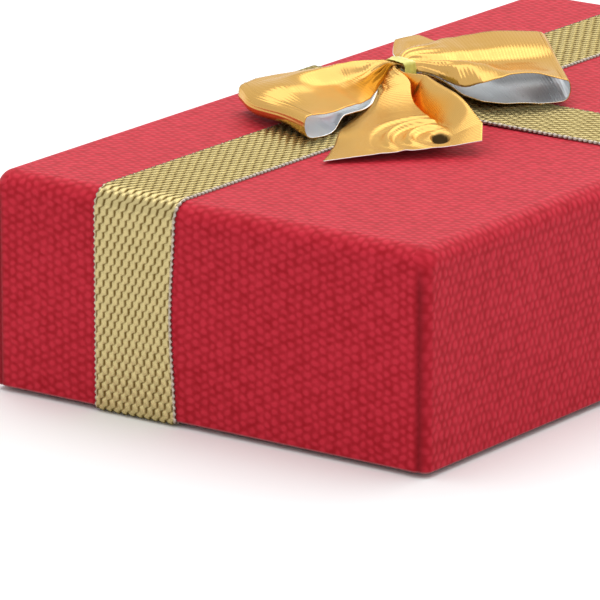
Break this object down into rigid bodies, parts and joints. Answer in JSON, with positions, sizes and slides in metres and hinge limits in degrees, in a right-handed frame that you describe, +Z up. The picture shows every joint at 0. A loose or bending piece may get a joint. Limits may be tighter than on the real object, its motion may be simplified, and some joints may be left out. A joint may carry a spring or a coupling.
{
  "type": "gift box",
  "caption": "Small rigid card gift box with a lift-off full-depth lid, woven ribbon bands crossing on top, a tied foil bow and a jewellery insert.",
  "frame": {"origin": "on the table under the middle of the box", "axes": "+Z up, +Y along the long side towards the back, +X across the box to the right"},
  "size_m": [0.0638, 0.1158, 0.0324],
  "materials": {
    "red_paper": "matte",
    "greyboard": "matte",
    "kraft_tape": "matte",
    "liner_paper": "matte",
    "foam": "matte",
    "flock": "matte",
    "woven_gold": "satin",
    "clear_tape": "gloss",
    "glue_pad": "satin",
    "gold_foil": "polished",
    "tie_strip": "gloss",
    "tie_wire": "satin"
  },
  "bodies": {
    "base": {"base_underside_paper": "red_paper", "base_board": "greyboard", "base_corner_stays": "kraft_tape", "base_wrap": "red_paper", "base_liner": "liner_paper"},
    "insert": {"insert_foam": "foam", "insert_card": "greyboard", "insert_cover": "flock"},
    "lid": {"lid_board": "greyboard", "lid_corner_stays": "kraft_tape", "lid_wrap": "red_paper", "lid_liner": "liner_paper", "long_band": "woven_gold", "cross_band": "woven_gold", "band_end_tapes": "clear_tape", "bow_pad": "glue_pad", "bow_loops": "gold_foil", "bow_tails": "gold_foil", "bow_tie": "tie_strip", "bow_tie_wire": "tie_wire"}
  },
  "joints": [
    {"name": "insert_lift", "type": "slide", "parent": "base", "child": "insert", "axis": [0, 0, 1], "range_m": [0, 0.04]},
    {"name": "lid_lift", "type": "slide", "parent": "insert", "child": "lid", "axis": [0, 0, 1], "range_m": [0, 0.045]}
  ]
}
